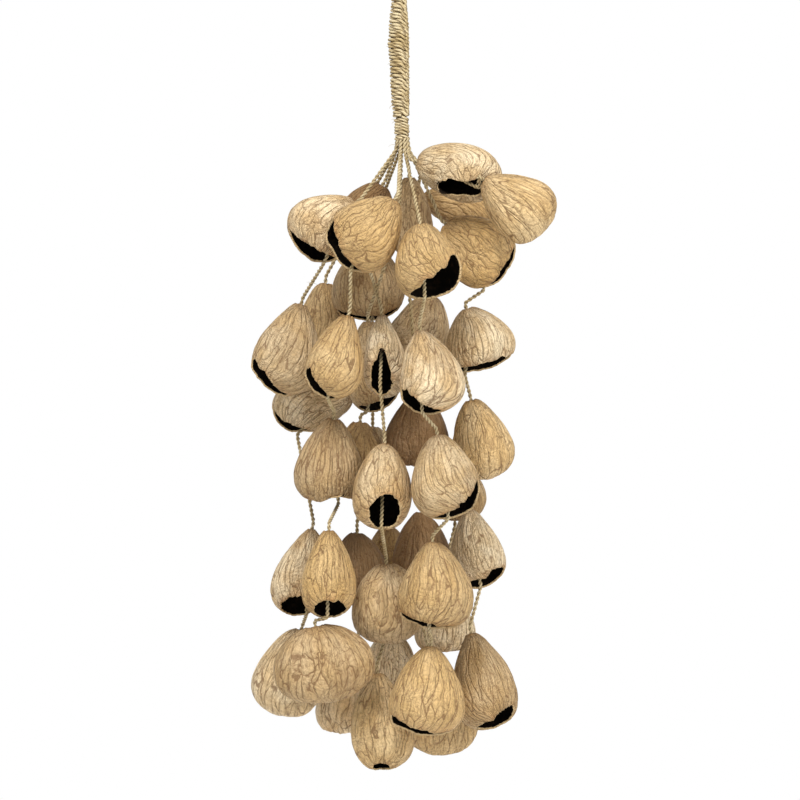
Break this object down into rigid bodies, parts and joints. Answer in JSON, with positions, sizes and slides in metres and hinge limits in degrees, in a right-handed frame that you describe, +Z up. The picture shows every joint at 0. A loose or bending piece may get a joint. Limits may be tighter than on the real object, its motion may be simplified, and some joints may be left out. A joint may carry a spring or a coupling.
{
  "type": "pangi seed shell rattle",
  "caption": "Hanging rattle: hollow dried pangi seed shells with cut mouths, strung on knotted twines below a cord-wound rope handle with a loop.",
  "frame": {"origin": "inside top of the hanging loop, where a hook bears", "axes": "+Z up along the hanging handle, -Y towards the viewer of the picture, +X to that viewer's right"},
  "size_m": [0.1991, 0.1498, 0.5527],
  "materials": {
    "rope": "matte plant fibre",
    "twine": "matte plant fibre",
    "shell_1": "dry, veined, matte",
    "shell_2": "dry, veined, matte",
    "shell_3": "dry, veined, matte",
    "shell_4": "dry, veined, matte"
  },
  "bodies": {
    "root": {"handle_winding": "rope", "hanging_loop": "rope", "shell_a1": "shell_1", "shell_a2": "shell_2", "shell_b1": "shell_2", "shell_b2": "shell_3", "shell_b3": "shell_4", "shell_b4": "shell_1", "shell_b5": "shell_2", "shell_c1": "shell_3", "shell_c2": "shell_4", "shell_c3": "shell_1", "shell_c4": "shell_2", "shell_c5": "shell_3", "shell_d1": "shell_4", "shell_d2": "shell_1", "shell_d3": "shell_2", "shell_d4": "shell_3", "shell_d5": "shell_4", "shell_e1": "shell_1", "shell_e2": "shell_2", "shell_e3": "shell_3", "shell_e4": "shell_4", "shell_e5": "shell_1", "shell_f1": "shell_2", "shell_f2": "shell_3", "shell_g1": "shell_3", "shell_g2": "shell_4", "shell_g3": "shell_1", "shell_g4": "shell_2", "shell_h1": "shell_4", "shell_h2": "shell_1", "shell_h3": "shell_2", "shell_h4": "shell_3", "shell_i1": "shell_1", "shell_i2": "shell_2", "shell_i3": "shell_3", "shell_i4": "shell_4", "shell_j1": "shell_2", "shell_j2": "shell_3", "shell_j3": "shell_4", "shell_j4": "shell_1", "shell_k1": "shell_3", "shell_k2": "shell_4", "shell_k3": "shell_1", "shell_k4": "shell_2", "twine_a": "twine", "twine_b": "twine", "twine_c": "twine", "twine_d": "twine", "twine_e": "twine", "twine_f": "twine", "twine_g": "twine", "twine_h": "twine", "twine_i": "twine", "twine_j": "twine", "twine_k": "twine", "whipping": "rope"}
  },
  "joints": []
}
